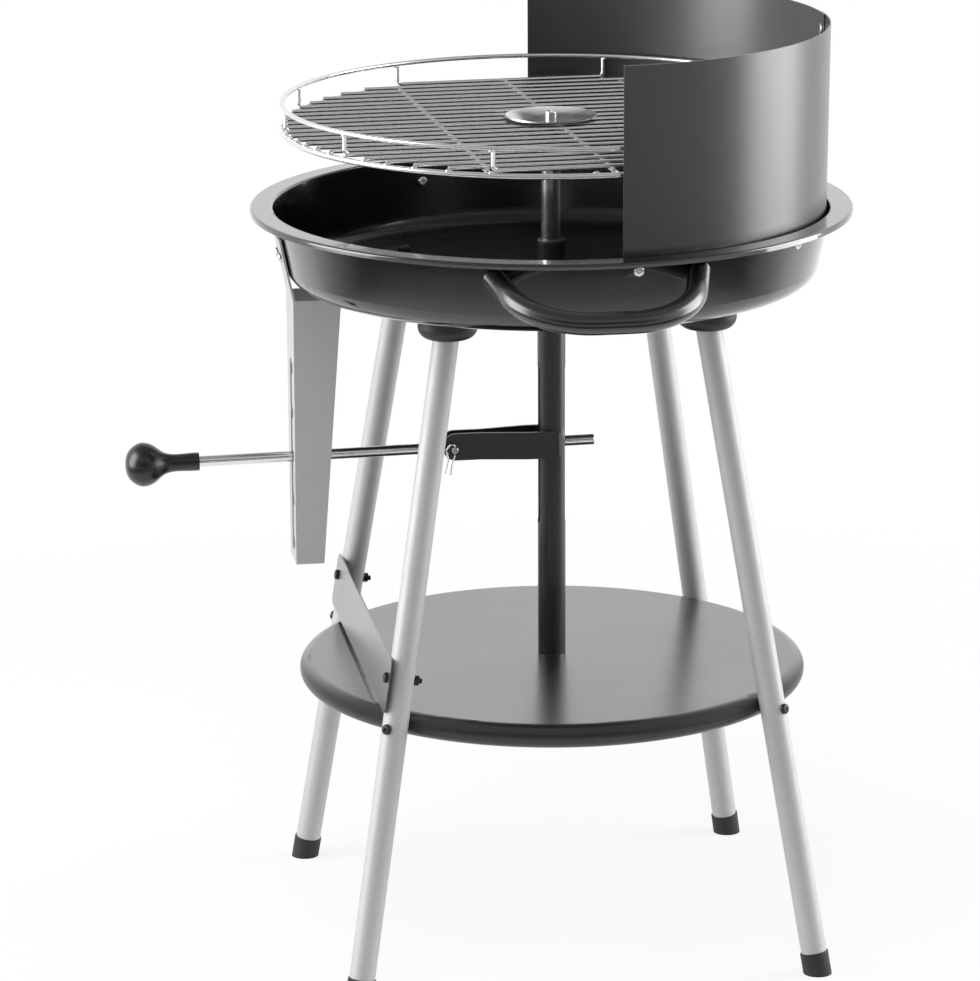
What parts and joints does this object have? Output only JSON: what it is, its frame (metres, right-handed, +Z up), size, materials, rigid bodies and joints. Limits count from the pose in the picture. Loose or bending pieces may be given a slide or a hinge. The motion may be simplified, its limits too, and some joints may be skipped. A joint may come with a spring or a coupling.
{
  "type": "charcoal grill",
  "caption": "Round charcoal grill on splayed tube legs with a lower shelf, a half windscreen and a turning wire grate that a notched hand lever lifts.",
  "frame": {"origin": "on the floor, under the centre post's axis", "axes": "+Z up along the post, -Y towards the lever's knob, +X and -X towards the carrying handles"},
  "size_m": [0.66, 0.6741, 0.858],
  "materials": {
    "black_enamel": "gloss enamel",
    "screen_paint": "satin paint",
    "silver_paint": "satin metallic paint",
    "black_board": "satin lacquer",
    "satin_black_paint": "satin paint",
    "plate_paint": "satin paint",
    "chrome_wire": "bright plating",
    "zinc": "bright zinc plating",
    "black_screws": "black finish",
    "black_plastic": "moulded satin",
    "handle_plastic": "moulded satin",
    "knob_plastic": "moulded gloss",
    "foot_rubber": "matt"
  },
  "bodies": {
    "stand": {"bowl": "black_enamel", "bracket_nuts": "zinc", "bracket_screws": "zinc", "cotter_pin": "zinc", "foot_front_left": "foot_rubber", "foot_front_right": "foot_rubber", "foot_rear_left": "foot_rubber", "foot_rear_right": "foot_rubber", "front_plate": "plate_paint", "guide_bush": "black_plastic", "handle_bolts": "zinc", "handle_left": "handle_plastic", "handle_right": "handle_plastic", "leg_front_left": "silver_paint", "leg_front_right": "silver_paint", "leg_rear_left": "silver_paint", "leg_rear_right": "silver_paint", "leg_socket_front_left": "black_plastic", "leg_socket_front_right": "black_plastic", "leg_socket_rear_left": "black_plastic", "leg_socket_rear_right": "black_plastic", "notch_bracket": "silver_paint", "pivot_pin": "zinc", "plate_bolts": "black_screws", "plate_nuts": "black_screws", "post_bolt": "black_screws", "post_plug": "black_plastic", "post_tube": "satin_black_paint", "seam_rivet": "zinc", "shelf": "black_board", "shelf_screws": "black_screws", "socket_bolts": "black_screws", "windscreen_left": "screen_paint", "windscreen_nuts": "zinc", "windscreen_right": "screen_paint", "windscreen_screws": "zinc", "yoke_plate_left": "satin_black_paint", "yoke_plate_right": "satin_black_paint"},
    "lever": {"lever_rod": "zinc", "lever_knob": "knob_plastic"},
    "lift": {"lift_tube": "chrome_wire", "grate_seat": "zinc", "disc_screw": "zinc"},
    "grate": {"grate_ring": "chrome_wire", "grate_rail": "chrome_wire", "grate_bars": "chrome_wire", "grate_riser_bars": "chrome_wire", "grate_cross_wires": "chrome_wire", "grate_hub": "zinc", "heat_disc": "zinc"}
  },
  "joints": [
    {"name": "lever_tilt", "type": "hinge", "parent": "stand", "child": "lever", "pos_m": [0, -0.0927, 0.462], "axis": [1, 0, 0], "range_deg": [-30, 28.4]},
    {"name": "grate_lift", "type": "slide", "parent": "stand", "child": "lift", "axis": [0, 0, 1], "range_m": [-0.0525, 0.0497]},
    {"name": "grate_turn", "type": "hinge", "parent": "lift", "child": "grate", "pos_m": [0, 0, 0.757], "axis": [0, 0, 1], "continuous": true}
  ],
  "couplings": [
    {"joint": "grate_lift", "follows": "lever_tilt", "m_per_rad": 0.0993}
  ]
}
